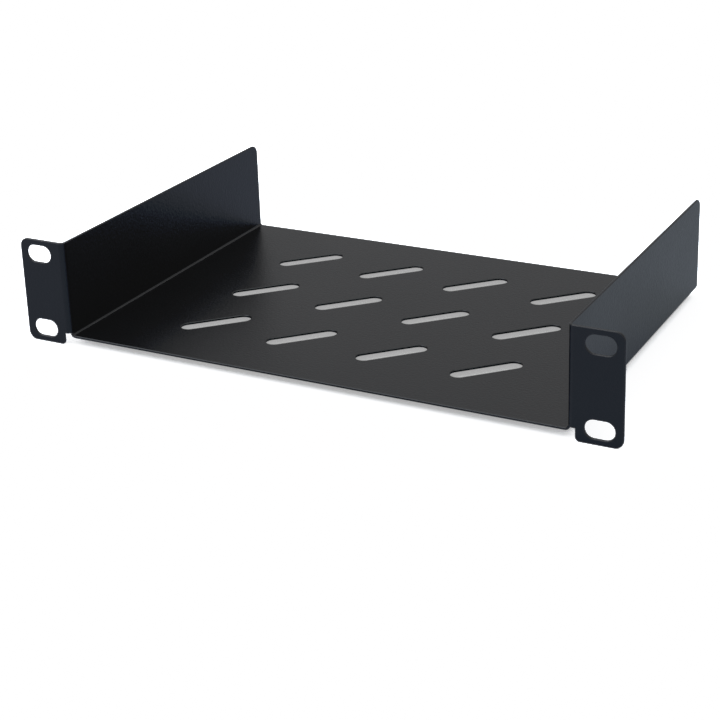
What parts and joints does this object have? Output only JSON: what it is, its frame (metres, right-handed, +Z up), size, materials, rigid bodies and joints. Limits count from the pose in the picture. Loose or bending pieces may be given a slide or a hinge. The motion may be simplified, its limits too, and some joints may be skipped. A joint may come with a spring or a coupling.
{
  "type": "rack shelf",
  "caption": "Small vented shelf tray folded from one black steel sheet, with upright side walls and slotted front ears that screw to a ten-inch rack.",
  "frame": {"origin": "the centre of the four ear slots, on the plane of the ears' rear faces, which seats on the rack's rails", "axes": "+X to the right and +Y to the rear as seen from the front of the rack, +Z up"},
  "size_m": [0.254, 0.15, 0.0434],
  "materials": {
    "black_powder_coat": "semi-matt black powder coat with a fine grain"
  },
  "bodies": {
    "root": {"shelf_tray": "black_powder_coat"}
  },
  "joints": []
}
